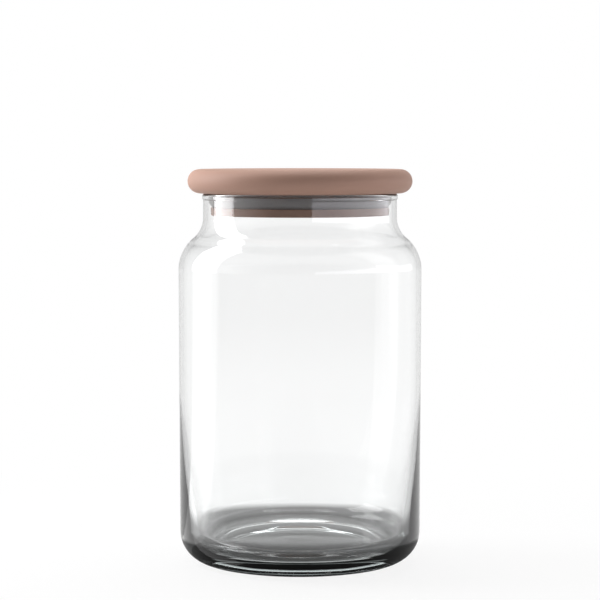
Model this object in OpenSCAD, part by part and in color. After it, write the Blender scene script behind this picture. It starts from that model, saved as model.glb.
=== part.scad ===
// Glass storage jar with a turned wooden lid. The lid's plug carries a
// silicone seal that presses against the inside of the neck.
// All sizes are in millimetres. The jar stands on z = 0, round the Z axis.

/* [Glass body] */
// Height of the glass, from the ring that it stands on to the rim
glass_h = 158; // [130:1:220]
// Outer diameter of the body, just under the shoulder
body_d = 104; // [98:0.5:120]
// How much narrower the body is at its heel than under the shoulder
body_taper = 1; // [0:0.1:3]
// Thickness of the body's wall
body_wall = 2.4; // [1.6:0.1:3.4]

/* [Glass base] */
// Thickness of the glass under the floor inside
base_t = 10; // [6:0.5:14]
// Outer radius of the heel, where the body turns in under the base
heel_r = 13.2; // [8:0.2:16]
// Radius of the bend between the floor and the wall inside
floor_bend_r = 7.5; // [4:0.5:12]
// Width of the flat ring that the jar stands on
foot_w = 4; // [2:0.5:8]
// Depth of the shallow hollow inside that ring
punt_h = 1.8; // [0.6:0.1:3]

/* [Shoulder and neck] */
// Outer diameter of the neck
neck_d = 82.8; // [76:0.2:86]
// Thickness of the neck's wall
neck_wall = 2; // [1.6:0.1:2.8]
// Height of the straight neck, up to the rim
neck_h = 10.6; // [8:0.2:20]
// Slope of the shoulder where it is straight, from the vertical
shoulder_slope = 48; // [40:1:60]
// Outer radius of the round bend from the body into the shoulder
shoulder_r = 15.7; // [10:0.1:18]
// Outer radius of the hollow bend from the shoulder into the neck
throat_r = 10.3; // [6:0.1:12]
// Height of the bead round the rim
bead_h = 2.6; // [2:0.2:6]
// How far the bead stands out from the neck
bead_out = 0.4; // [0.1:0.1:1]

/* [Wooden lid] */
// Thickness of the disc, whose edge is a full half round
lid_t = 10.2; // [8:0.2:14]
// How far the disc reaches past the neck, all round
lid_overhang = 6.6; // [3:0.2:12]
// Gap that the disc keeps above the rim
lid_gap = 0.2; // [0.1:0.05:0.3]
// Depth of the plug below the disc
plug_h = 9.4; // [8:0.2:14]
// Gap between the plug and the inside of the neck, all round
plug_gap = 1.3; // [0.8:0.1:2]
// Rounding of the plug's lower edge
plug_edge_r = 0.6; // [0.2:0.1:1.2]

/* [Silicone seal] */
// Height of the seal and of the groove that it sits in
seal_h = 4.6; // [3.4:0.2:5.4]
// Wood between the disc and the top of the seal
seal_drop = 1.5; // [0.8:0.1:2.2]
// Depth of the groove in the plug
groove_depth = 3; // [2:0.2:5]
// Height of the lip's straight part, at the top of the seal
lip_land = 0.8; // [0.4:0.1:1.6]
// How far the seal draws in from its lip to its lower edge
lip_draw = 2.3; // [1:0.1:2.6]
// Gap between the lip and the inside of the neck
lip_gap = 0.2; // [0.1:0.05:0.4]

/* [Hidden] */
$fn = 128;

glass_colour = [0.86, 0.91, 0.9, 0.4];
beech_colour = [0.82, 0.67, 0.59];
silicone_colour = [0.78, 0.76, 0.76];

// Glass radii
body_r = body_d / 2;
foot_r = body_r - body_taper / 2;
neck_r = neck_d / 2;
mouth_r = neck_r - neck_wall;
ring_r = foot_r - heel_r;
punt_r = ring_r - foot_w;
rim_r = (neck_wall + bead_out) / 2;

// The two bends of the shoulder are limited by the step that they fill
step = body_r - neck_r;
bend_turn = 1 - cos(shoulder_slope);
bend_fit = min(1, 0.9 * step / ((shoulder_r + throat_r) * bend_turn));
outer_bend_r = shoulder_r * bend_fit;
outer_throat_r = throat_r * bend_fit;
straight = (step - (outer_bend_r + outer_throat_r) * bend_turn) / sin(shoulder_slope);

// Centres of the two bends, in the jar's half section
neck_z = glass_h - neck_h;
shoulder_z = neck_z - (outer_bend_r + outer_throat_r) * sin(shoulder_slope)
    - straight * cos(shoulder_slope);
bend_c = [body_r - outer_bend_r, shoulder_z];
throat_c = [neck_r + outer_throat_r, neck_z];

// Lid and seal
lid_r = neck_r + lid_overhang;
lid_z = glass_h + lid_gap;
plug_r = mouth_r - plug_gap;
plug_z = lid_z - plug_h;
groove_r = plug_r - groove_depth;
seal_top_z = lid_z - seal_drop;
seal_z = seal_top_z - seal_h;
lip_r = mouth_r - lip_gap;
curve_h = seal_h - lip_land;
curve_r = (curve_h * curve_h + lip_draw * lip_draw) / (2 * lip_draw);

// How far the half section's cuts run past the glass
past = 1;

// Angle of the line that touches both bends of a shoulder
function shoulder_angle(bend, throat) =
    let (way = throat_c - bend_c)
    atan2(way.y, way.x) - acos(min(1, (bend + throat) / norm(way)));

// Half section of a jar's shape, which serves the outside and the inside
module jar_shape(floor_z, heel, low_r, high_r, bend, throat, top_r, top_z) {
    angle = shoulder_angle(bend, throat);
    facing = [cos(angle), sin(angle)];
    difference() {
        union() {
            polygon([
                [0, floor_z],
                [low_r - heel, floor_z],
                [low_r, floor_z + heel],
                [high_r, shoulder_z],
                bend_c + bend * facing,
                throat_c - throat * facing,
                [top_r, neck_z],
                [top_r, top_z],
                [0, top_z]
            ]);
            translate([low_r - heel, floor_z + heel]) circle(r = heel);
            translate(bend_c) circle(r = bend);
        }
        translate(throat_c) circle(r = throat);
    }
}

// Half section of the fire-polished rim with its low bead
module rim_shape() {
    bead_z = glass_h - bead_h;
    bead_r = neck_r + bead_out;
    polygon([
        [mouth_r, bead_z],
        [neck_r, bead_z],
        [bead_r, bead_z + bead_out],
        [bead_r, glass_h - rim_r],
        [mouth_r, glass_h - rim_r]
    ]);
    translate([mouth_r + rim_r, glass_h - rim_r]) circle(r = rim_r);
}

// Half section of the shallow hollow under the base, an arc of a large circle
module punt_shape() {
    arc_r = (punt_r * punt_r + punt_h * punt_h) / (2 * punt_h);
    intersection() {
        translate([0, punt_h - arc_r]) circle(r = arc_r, $fn = 720);
        translate([0, -past]) square([punt_r, punt_h + 2 * past]);
    }
}

// The jar: one piece of clear pressed glass with a heavy base
module glass_jar() {
    color(glass_colour)
    rotate_extrude() {
        difference() {
            jar_shape(0, heel_r, foot_r, body_r, outer_bend_r, outer_throat_r,
                neck_r, glass_h - rim_r);
            jar_shape(base_t, floor_bend_r, foot_r - body_wall, body_r - body_wall,
                outer_bend_r - body_wall, outer_throat_r + neck_wall,
                mouth_r, glass_h + past);
            punt_shape();
        }
        rim_shape();
    }
}

// The lid: a disc and its plug, turned from one piece of beech
module wooden_lid() {
    color(beech_colour)
    rotate_extrude() {
        translate([0, lid_z]) square([lid_r - lid_t / 2, lid_t]);
        translate([lid_r - lid_t / 2, lid_z + lid_t / 2]) circle(r = lid_t / 2);
        difference() {
            union() {
                translate([0, plug_z]) square([plug_r - plug_edge_r, plug_h]);
                translate([0, plug_z + plug_edge_r])
                    square([plug_r, plug_h - plug_edge_r]);
                translate([plug_r - plug_edge_r, plug_z + plug_edge_r])
                    circle(r = plug_edge_r);
            }
            translate([groove_r, seal_z]) square([groove_depth + past, seal_h]);
        }
    }
}

// The seal: a silicone ring stretched into the plug's groove, with its lip at the top
module silicone_seal() {
    color(silicone_colour)
    rotate_extrude() {
        translate([groove_r, seal_z]) square([lip_r - lip_draw - groove_r, seal_h]);
        translate([groove_r, seal_top_z - lip_land])
            square([lip_r - groove_r, lip_land]);
        intersection() {
            translate([groove_r, seal_z]) square([lip_r - groove_r, seal_h]);
            translate([lip_r - curve_r, seal_top_z - lip_land]) circle(r = curve_r);
        }
    }
}

glass_jar();
wooden_lid();
silicone_seal();
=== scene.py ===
"""A clear glass storage jar with a turned beech lid and a silicone seal, on a white table."""

import math

import bpy
import bmesh
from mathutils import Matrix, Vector


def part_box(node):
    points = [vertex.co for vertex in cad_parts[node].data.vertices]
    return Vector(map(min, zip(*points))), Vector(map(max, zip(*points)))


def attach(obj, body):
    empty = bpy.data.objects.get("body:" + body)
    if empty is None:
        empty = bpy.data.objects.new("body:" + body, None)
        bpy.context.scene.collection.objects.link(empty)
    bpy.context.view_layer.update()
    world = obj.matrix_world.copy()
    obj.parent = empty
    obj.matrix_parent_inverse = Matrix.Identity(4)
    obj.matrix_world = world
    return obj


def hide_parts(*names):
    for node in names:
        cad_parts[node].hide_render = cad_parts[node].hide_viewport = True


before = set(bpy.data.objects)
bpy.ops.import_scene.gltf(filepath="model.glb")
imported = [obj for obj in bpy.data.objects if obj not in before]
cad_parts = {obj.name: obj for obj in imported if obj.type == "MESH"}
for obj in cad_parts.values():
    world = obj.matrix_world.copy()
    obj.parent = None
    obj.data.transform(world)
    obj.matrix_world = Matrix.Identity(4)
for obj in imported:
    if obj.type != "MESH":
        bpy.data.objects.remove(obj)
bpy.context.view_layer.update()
bpy.ops.object.select_all(action="DESELECT")
scene = bpy.context.scene


# CAMERA
# A long lens, a little under a metre from the jar and just above the lid, tipped down
# far enough to look into the base.
EYE_BACK = 0.960
EYE_HEIGHT = 0.178
EYE_TIP = math.radians(3.91)
LENS = 134.7
SENSOR = 36.0
FURTHEST = 50

bpy.ops.object.camera_add(
    location=(0, -EYE_BACK, EYE_HEIGHT), rotation=(math.radians(90) - EYE_TIP, 0, 0)
)
camera = bpy.context.object
camera.data.lens = LENS
camera.data.sensor_width = SENSOR
camera.data.clip_end = FURTHEST
scene.camera = camera
scene.view_settings.view_transform = "Standard"


# TABLE
# A wide white table with a soft gloss. It is seen as plain white, also through the glass,
# apart from the jar's faint shadow and a painted contact shadow round its foot, a dark patch
# that stands in for the shade where little light reaches. Mirrored in the glass it shows a
# painted glow and a painted pool of light, as though lit. Its gloss doubles the soft boxes that the glass
# mirrors.
TABLE_HALF = 3.0
TABLE_DROP = 0.00005
TABLE_GREY = 0.62
SHADOW_GREY = 0.9
SHADOW_SHARE = 0.15
SHADOW_REACH = 0.30
# Painted contact shadow: how bright the table looks through the glass and mirrored in it, at distances
# from the jar's axis
PAINTED_CONTACT_SHADOW = [(0.044, 0.04), (0.058, 0.22), (0.068, 0.26), (0.080, 1.0)]
TABLE_GLOSS = 0.10
GLOSS_ROUGHNESS = 0.06
# Painted light that the glass mirrors, as though the table were lit: its glow near the jar, far from it
# and behind it
NEAR_GLOW = 0.75
FAR_GLOW = 0.32
BACK_GLOW = 0.78
# A painted pool of light: the lighter sector of the table toward the left soft box, in degrees from the
# camera's side
LEFT_TURN = -102.5
POOL_HALF = 18.5
POOL_EDGE = 0.7
PAINTED_POOL_GLOW = 0.55

bpy.ops.mesh.primitive_plane_add(size=2 * TABLE_HALF, location=(0, 0, -TABLE_DROP))
table = bpy.context.object
table.name = "table"
table_paint = bpy.data.materials.new("table_white")
table_paint.use_nodes = True
nodes, links = table_paint.node_tree.nodes, table_paint.node_tree.links
nodes.clear()
table_out = nodes.new("ShaderNodeOutputMaterial")
path = nodes.new("ShaderNodeLightPath")
place = nodes.new("ShaderNodeTexCoord")
from_jar = nodes.new("ShaderNodeVectorMath")
from_jar.operation = "LENGTH"
links.new(place.outputs["Object"], from_jar.inputs[0])


def ramp(socket, low, high, low_value, high_value):
    """A smooth change from one value to another between two ends of a socket's range."""
    change = nodes.new("ShaderNodeMapRange")
    change.interpolation_type = "SMOOTHSTEP"
    change.inputs["From Min"].default_value = low
    change.inputs["From Max"].default_value = high
    change.inputs["To Min"].default_value = low_value
    change.inputs["To Max"].default_value = high_value
    links.new(socket, change.inputs["Value"])
    return change.outputs[0]


def mixed(share, first, second):
    """Two shaders mixed by a socket, or by a plain number."""
    mix = nodes.new("ShaderNodeMixShader")
    if isinstance(share, float):
        mix.inputs["Fac"].default_value = share
    else:
        links.new(share, mix.inputs["Fac"])
    links.new(first, mix.inputs[1])
    links.new(second, mix.inputs[2])
    return mix.outputs[0]


def glowing(colour, strength):
    """A shader that only glows, with two sockets for how much."""
    light = nodes.new("ShaderNodeEmission")
    links.new(colour, light.inputs["Color"])
    if isinstance(strength, float):
        light.inputs["Strength"].default_value = strength
    else:
        links.new(strength, light.inputs["Strength"])
    return light.outputs[0]


def painted(grey, kind="ShaderNodeBsdfDiffuse"):
    """A matt or glossy shader of a plain grey."""
    paint = nodes.new(kind)
    paint.inputs["Color"].default_value = (grey, grey, grey, 1)
    return paint


# A painted contact shadow round the jar's foot: dark near it, white further out
distance = from_jar.outputs["Value"]
painted_shadow_ramp = nodes.new("ShaderNodeValToRGB")
share = ramp(distance, 0.0, PAINTED_CONTACT_SHADOW[-1][0], 0.0, 1.0)
share.node.interpolation_type = "LINEAR"
links.new(share, painted_shadow_ramp.inputs["Fac"])
for stop, (reach, grey) in enumerate(PAINTED_CONTACT_SHADOW):
    element = painted_shadow_ramp.color_ramp.elements[stop] if stop < 2 else painted_shadow_ramp.color_ramp.elements.new(1)
    element.position = reach / PAINTED_CONTACT_SHADOW[-1][0]
    element.color = (grey, grey, grey, 1)
painted_contact_shade = painted_shadow_ramp.outputs["Color"]
white = nodes.new("ShaderNodeEmission")
seen = mixed(
    ramp(distance, 0.0, SHADOW_REACH, SHADOW_SHARE, 0.0), white.outputs[0], painted(SHADOW_GREY).outputs[0]
)
gloss = painted(TABLE_GLOSS, "ShaderNodeBsdfAnisotropic")
gloss.inputs["Roughness"].default_value = GLOSS_ROUGHNESS
away = nodes.new("ShaderNodeVectorMath")
away.operation = "NORMALIZE"
links.new(place.outputs["Object"], away.inputs[0])
# The painted pool of light on the table toward the left soft box
toward = nodes.new("ShaderNodeVectorMath")
toward.operation = "DOT_PRODUCT"
toward.inputs[1].default_value = (
    math.sin(math.radians(LEFT_TURN)), -math.cos(math.radians(LEFT_TURN)), 0
)
links.new(away.outputs["Vector"], toward.inputs[0])
painted_light_pool = ramp(
    toward.outputs["Value"], math.cos(math.radians(POOL_HALF + POOL_EDGE)),
    math.cos(math.radians(POOL_HALF - POOL_EDGE)), 0.0, PAINTED_POOL_GLOW,
)
split = nodes.new("ShaderNodeSeparateXYZ")
links.new(place.outputs["Object"], split.inputs[0])
# The painted glow that stands in for the lit table in the glass's mirror
painted_front_glow = ramp(distance, 0.2, 1.6, NEAR_GLOW, FAR_GLOW)
behind = ramp(split.outputs["Y"], -0.05, 0.15, 0.0, 1.0)
painted_plain_glow = nodes.new("ShaderNodeMix")
links.new(behind, painted_plain_glow.inputs["Factor"])
links.new(painted_front_glow, painted_plain_glow.inputs["A"])
painted_plain_glow.inputs["B"].default_value = BACK_GLOW
painted_table_glow = nodes.new("ShaderNodeMath")
links.new(painted_plain_glow.outputs["Result"], painted_table_glow.inputs[0])
links.new(painted_light_pool, painted_table_glow.inputs[1])
mirrored = nodes.new("ShaderNodeAddShader")
links.new(glowing(painted_contact_shade, painted_table_glow.outputs[0]), mirrored.inputs[0])
links.new(gloss.outputs[0], mirrored.inputs[1])
# Straight through the glass the table shows the painted contact shadow. Mirrored, it shows the painted
# glow darkened by that shadow, plus its real gloss.
look = mixed(path.outputs["Glossy Depth"], glowing(painted_contact_shade, 1.0), mirrored.outputs[0])
look = mixed(path.outputs["Diffuse Depth"], look, painted(TABLE_GREY).outputs[0])
look = mixed(path.outputs["Is Camera Ray"], look, seen)
links.new(look, table_out.inputs["Surface"])
table.data.materials.append(table_paint)


# STUDIO
# A white backdrop all round, which the glass shows too, in a dimmer room that it mirrors:
# a tall soft box on the left, a wide window low on the right and a soft light overhead.
studio = bpy.data.worlds.new("studio")
scene.world = studio
studio.use_nodes = True
nodes, links = studio.node_tree.nodes, studio.node_tree.links
nodes.clear()
world_out = nodes.new("ShaderNodeOutputWorld")
path = nodes.new("ShaderNodeLightPath")
way = nodes.new("ShaderNodeTexCoord")
split = nodes.new("ShaderNodeSeparateXYZ")
links.new(way.outputs["Generated"], split.inputs[0])


def sky(strength):
    """White light of a plain strength, or of one that a socket gives."""
    light = nodes.new("ShaderNodeBackground")
    light.inputs["Color"].default_value = (1, 1, 1, 1)
    if isinstance(strength, float):
        light.inputs["Strength"].default_value = strength
    else:
        links.new(strength, light.inputs["Strength"])
    return light.outputs[0]


def product(first, second):
    """Two sockets multiplied."""
    both = nodes.new("ShaderNodeMath")
    both.operation = "MULTIPLY"
    links.new(first, both.inputs[0])
    links.new(second, both.inputs[1])
    return both.outputs[0]


# The room is darkest on the camera's side, and it dims toward the ceiling
backward = split.outputs["Y"]
upward = split.outputs["Z"]
seen_through = sky(ramp(upward, 0.15, 0.6, 1.0, 0.5))
mirrored_room = sky(
    product(ramp(backward, -0.9, -0.2, 0.15, 0.78), ramp(upward, 0.1, 0.6, 1.0, 0.4))
)
lighting_room = sky(ramp(backward, -0.2, 0.6, 0.15, 0.9))
look = mixed(path.outputs["Glossy Depth"], seen_through, mirrored_room)
look = mixed(path.outputs["Diffuse Depth"], look, lighting_room)
look = mixed(path.outputs["Is Camera Ray"], look, sky(1.0))
links.new(look, world_out.inputs["Surface"])


def soft_box(name, turn, distance, width, low, high, glow, colour):
    """An upright soft box that faces the jar. turn is in degrees from the camera's side, and
    glow is how much brighter than white it looks."""
    side = math.radians(turn)
    place = Vector((math.sin(side) * distance, -math.cos(side) * distance, (low + high) / 2))
    bpy.ops.object.light_add(type="AREA", location=place)
    box = bpy.context.object
    box.name = name
    box.rotation_euler = Vector((-place.x, -place.y, 0)).to_track_quat("-Z", "Y").to_euler()
    box.data.shape = "RECTANGLE"
    box.data.size = width
    box.data.size_y = high - low
    box.data.color = colour
    box.data.energy = glow * math.pi * width * (high - low)
    box.visible_camera = False
    return box


soft_box("left_box", LEFT_TURN, 0.80, 0.50, 0.105, 1.25, 5.2, (1.0, 0.99, 1.0))
soft_box("right_window", 72, 0.90, 2.88, 0.110, 0.32, 1.3, (0.94, 0.93, 1.0))

OVERHEAD_AT = (0, 0.25, 0.95)
OVERHEAD_WIDE = 0.6
OVERHEAD_DEEP = 0.5
OVERHEAD_WATTS = 3
bpy.ops.object.light_add(type="AREA", location=OVERHEAD_AT)
overhead = bpy.context.object
overhead.name = "overhead"
overhead.data.shape = "RECTANGLE"
overhead.data.size = OVERHEAD_WIDE
overhead.data.size_y = OVERHEAD_DEEP
overhead.data.energy = OVERHEAD_WATTS
overhead.visible_camera = False


# GLASS JAR
# Clear soda-lime glass, pressed and blown in a mould: a heavy base with a shallow hollow
# under it, a round heel, a slight taper, round shoulders and a fire-polished rim.
MM = 0.001
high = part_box("glass_jar")[1]
GLASS_HEIGHT = high.z
BODY_R = high.x
TAPER = 0.5 * MM
BODY_WALL = 2.0 * MM
HEEL_WALL = 7.0 * MM
THICKENING_MID = 52 * MM
THICKENING_R = 365 * MM
NECK_R = 41.4 * MM
NECK_WALL = 2.0 * MM
BASE_THICK = 8 * MM
HEEL_R = 13.2 * MM
FLOOR_BEND_R = 8.5 * MM
FOOT_WIDE = 4 * MM
PUNT_DEEP = 1.8 * MM
PUNT_BEND_R = 280 * MM
SHOULDER_CORNER = 133.27 * MM
THROAT_CORNER = 142.81 * MM
SHOULDER_BEND_R = 15.7 * MM
THROAT_BEND_R = 10.3 * MM
INNER_SHOULDER_CORNER = 131.42 * MM
INNER_THROAT_CORNER = 142.65 * MM
BEAD_HIGH = 2.6 * MM
BEAD_OUT = 0.4 * MM
RIPPLES = [(31, 0.0), (28, 0.06), (25, 0.0), (22, 0.07), (19.5, 0.0), (17, 0.08), (13, 0.0),
           (9.5, 0.04), (6.5, 0.1), (3, 0.02)]
EDGE_R = 0.3 * MM
RIM_FIT = 0.98
ROUND_STEPS = 14
TURNS = 256
SAME_SPOT = 1e-6
SAME_POINT = 1e-7
GLASS_IOR = 1.52
GLASS_TINT = (0.72, 0.95, 0.93, 1)
GLASS_DENSITY = 5.0


def select_near(mesh, spot):
    """Selects only the vertices that lie at one spot of a half section."""
    bpy.ops.mesh.select_all(action="DESELECT")
    section = bmesh.from_edit_mesh(mesh)
    for vert in section.verts:
        vert.select_set((vert.co - spot).length < SAME_SPOT)
    section.select_flush_mode()
    bmesh.update_edit_mesh(mesh)


def turned(name, outline, segments):
    """Draws a half section from corner to corner and rounds its corners.

    Each corner is (radius from the axis, height, rounding radius)."""
    bpy.ops.mesh.primitive_plane_add(size=MM, location=(0, 0, 0))
    piece = bpy.context.object
    piece.name = name
    piece.data.name = name
    bpy.ops.object.mode_set(mode="EDIT")
    bpy.ops.mesh.select_all(action="SELECT")
    bpy.ops.mesh.merge(type="CENTER")
    spots = [Vector((r, 0, z)) for r, z, _ in outline]
    bpy.ops.transform.translate(value=spots[0])
    for before, after in zip(spots, spots[1:]):
        bpy.ops.mesh.extrude_vertices_move(TRANSFORM_OT_translate={"value": after - before})
    for i, (_, _, rounding) in enumerate(outline):
        if rounding:
            back = (spots[i - 1] - spots[i]).normalized()
            ahead = (spots[(i + 1) % len(spots)] - spots[i]).normalized()
            half_turn = (math.pi - back.angle(ahead)) / 2
            select_near(piece.data, spots[i])
            bpy.ops.mesh.bevel(
                offset_type="OFFSET", offset=rounding * math.tan(half_turn),
                segments=max(3, round(segments * half_turn)), profile=0.5, affect="VERTICES",
            )
    return piece


def spin_closed(piece, turns):
    """Spins the drawn half section round Z and closes its poles and its seam."""
    bpy.ops.mesh.select_all(action="SELECT")
    bpy.ops.mesh.spin(steps=turns, angle=2 * math.pi, center=(0, 0, 0), axis=(0, 0, 1))
    bpy.ops.mesh.select_all(action="SELECT")
    bpy.ops.mesh.remove_doubles(threshold=SAME_POINT)
    bpy.ops.mesh.normals_make_consistent(inside=False)
    bpy.ops.object.mode_set(mode="OBJECT")
    bpy.ops.object.shade_smooth()
    bpy.ops.object.modifier_add(type="WEIGHTED_NORMAL")
    bpy.ops.object.modifier_apply(modifier=piece.modifiers[-1].name)


foot_r = BODY_R - TAPER
mouth_r = NECK_R - NECK_WALL
rim_r = (NECK_WALL + BEAD_OUT) / 2
punt_r = foot_r - HEEL_R - FOOT_WIDE
jar = turned(
    "glass_jar_blown",
    [
        (0, PUNT_DEEP, 0),
        (punt_r * 0.5, PUNT_DEEP, PUNT_BEND_R),
        (punt_r, 0, EDGE_R),
        (foot_r, 0, HEEL_R),
        (BODY_R, SHOULDER_CORNER, SHOULDER_BEND_R),
        (NECK_R, THROAT_CORNER, THROAT_BEND_R),
        (NECK_R, GLASS_HEIGHT - BEAD_HIGH, EDGE_R),
        (NECK_R + BEAD_OUT, GLASS_HEIGHT - BEAD_HIGH + BEAD_OUT, EDGE_R),
        (NECK_R + BEAD_OUT, GLASS_HEIGHT, rim_r * RIM_FIT),
        (mouth_r, GLASS_HEIGHT, rim_r * RIM_FIT),
        (mouth_r, INNER_THROAT_CORNER, THROAT_BEND_R + NECK_WALL),
        (BODY_R - BODY_WALL, INNER_SHOULDER_CORNER, SHOULDER_BEND_R - BODY_WALL),
        (BODY_R - BODY_WALL, THICKENING_MID, THICKENING_R),
        (foot_r - HEEL_WALL, BASE_THICK, FLOOR_BEND_R),
        *[(r * MM, BASE_THICK + rise * MM, 0) for r, rise in RIPPLES],
        (0, BASE_THICK, 0),
    ],
    segments=ROUND_STEPS,
)
spin_closed(jar, TURNS)

clear = bpy.data.materials.new("clear_glass")
clear.use_nodes = True
glass = clear.node_tree.nodes["Principled BSDF"]
glass.inputs["Base Color"].default_value = (1, 1, 1, 1)
glass.inputs["Roughness"].default_value = 0.0
glass.inputs["IOR"].default_value = GLASS_IOR
glass.inputs["Transmission Weight"].default_value = 1.0
tint = clear.node_tree.nodes.new("ShaderNodeVolumeAbsorption")
tint.inputs["Color"].default_value = GLASS_TINT
tint.inputs["Density"].default_value = GLASS_DENSITY
clear.node_tree.links.new(
    tint.outputs[0], clear.node_tree.nodes["Material Output"].inputs["Volume"]
)
jar.data.materials.append(clear)
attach(jar, "jar")
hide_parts("glass_jar")


# WOODEN LID
# One piece of steamed beech, turned to a disc with a half-round edge and a plug with a
# groove for the seal, then sanded and left unvarnished.
BEECH_COLOUR = (0.52, 0.31, 0.235, 1)
BEECH_ROUGHNESS = 0.6
beech = bpy.data.materials.new("steamed_beech")
beech.use_nodes = True
wood = beech.node_tree.nodes["Principled BSDF"]
wood.inputs["Base Color"].default_value = BEECH_COLOUR
wood.inputs["Roughness"].default_value = BEECH_ROUGHNESS
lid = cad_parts["wooden_lid"]
lid.data.materials.clear()
lid.data.materials.append(beech)


# SILICONE SEAL
# A moulded ring of translucent silicone, stretched into the plug's groove.
SILICONE_COLOUR = (0.62, 0.6, 0.6, 1)
SILICONE_ROUGHNESS = 0.35
SILICONE_CLEAR = 0.4
rubber = bpy.data.materials.new("clear_silicone")
rubber.use_nodes = True
soft = rubber.node_tree.nodes["Principled BSDF"]
soft.inputs["Base Color"].default_value = SILICONE_COLOUR
soft.inputs["Roughness"].default_value = SILICONE_ROUGHNESS
soft.inputs["Transmission Weight"].default_value = SILICONE_CLEAR
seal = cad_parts["silicone_seal"]
seal.data.materials.clear()
seal.data.materials.append(rubber)
